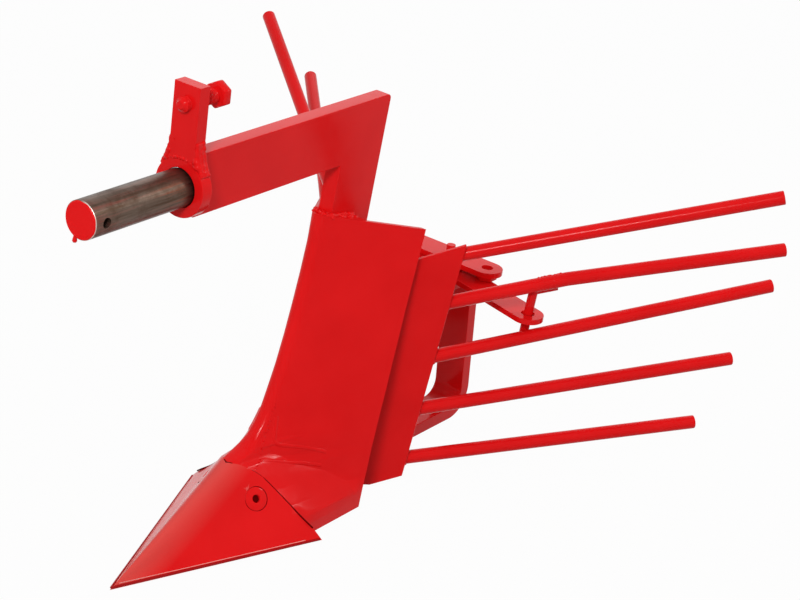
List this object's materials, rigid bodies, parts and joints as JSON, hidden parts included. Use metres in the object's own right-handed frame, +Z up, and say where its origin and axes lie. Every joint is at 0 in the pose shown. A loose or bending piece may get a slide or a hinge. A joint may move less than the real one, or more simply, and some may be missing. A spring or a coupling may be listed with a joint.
{
  "type": "ridging plough",
  "caption": "Tractor-drawn ridging plough: round hitch shaft, beam and shank, bent mouldboard with bolted share, and hinged rod wings set by two links.",
  "frame": {"origin": "on the hitch shaft's axis at the boss ring's front face", "axes": "+X to the plough's left, +Y rearward against the direction of travel, +Z up, in the working pose"},
  "size_m": [0.5674, 0.6322, 0.413],
  "materials": {
    "red_enamel": "gloss",
    "bare_steel": "satin"
  },
  "bodies": {
    "plough_frame": {"hitch_shaft": "bare_steel", "boss_ring": "red_enamel", "stop_lever": "red_enamel", "set_screw": "red_enamel", "beam": "red_enamel", "shank": "red_enamel", "mouldboard": "red_enamel", "top_plate": "red_enamel", "share": "red_enamel", "share_bolts": "red_enamel", "share_nuts": "red_enamel", "rear_brace": "red_enamel", "adjuster_peg": "red_enamel", "adjuster_plate": "red_enamel", "adjuster_nut": "red_enamel", "hinge_tubes": "red_enamel", "hinge_pins": "red_enamel"},
    "wing_left": {"wing_plate_left": "red_enamel", "wing_ears_left": "red_enamel", "staple_left": "red_enamel", "rod_1_left": "red_enamel", "rod_2_left": "red_enamel", "rod_3_left": "red_enamel", "rod_4_left": "red_enamel", "rod_5_left": "red_enamel"},
    "wing_right": {"wing_plate_right": "red_enamel", "wing_ears_right": "red_enamel", "staple_right": "red_enamel", "rod_1_right": "red_enamel", "rod_2_right": "red_enamel", "rod_3_right": "red_enamel", "rod_4_right": "red_enamel", "rod_5_right": "red_enamel"},
    "link_left": {"link_left": "red_enamel"},
    "link_right": {"link_right": "red_enamel"}
  },
  "joints": [
    {"name": "wing_left_hinge", "type": "hinge", "parent": "plough_frame", "child": "wing_left", "pos_m": [0.0155, 0.216, -0.202], "axis": [0, 0, 1], "range_deg": [-0.5, 4.4]},
    {"name": "wing_right_hinge", "type": "hinge", "parent": "plough_frame", "child": "wing_right", "pos_m": [-0.0155, 0.216, -0.202], "axis": [0, 0, -1], "range_deg": [-0.5, 4.4]},
    {"name": "link_left_eye", "type": "hinge", "parent": "wing_left", "child": "link_left", "pos_m": [0.106, 0.3559, -0.1707], "axis": [0, 0, 1], "range_deg": [-2.6, 0.4]},
    {"name": "link_right_eye", "type": "hinge", "parent": "wing_right", "child": "link_right", "pos_m": [-0.1069, 0.355, -0.1654], "axis": [0, 0, -1], "range_deg": [-2.6, 0.4]}
  ],
  "couplings": [
    {"joint": "link_left_eye", "follows": "wing_left_hinge", "ratio": -0.548},
    {"joint": "link_right_eye", "follows": "wing_right_hinge", "ratio": -0.548}
  ]
}
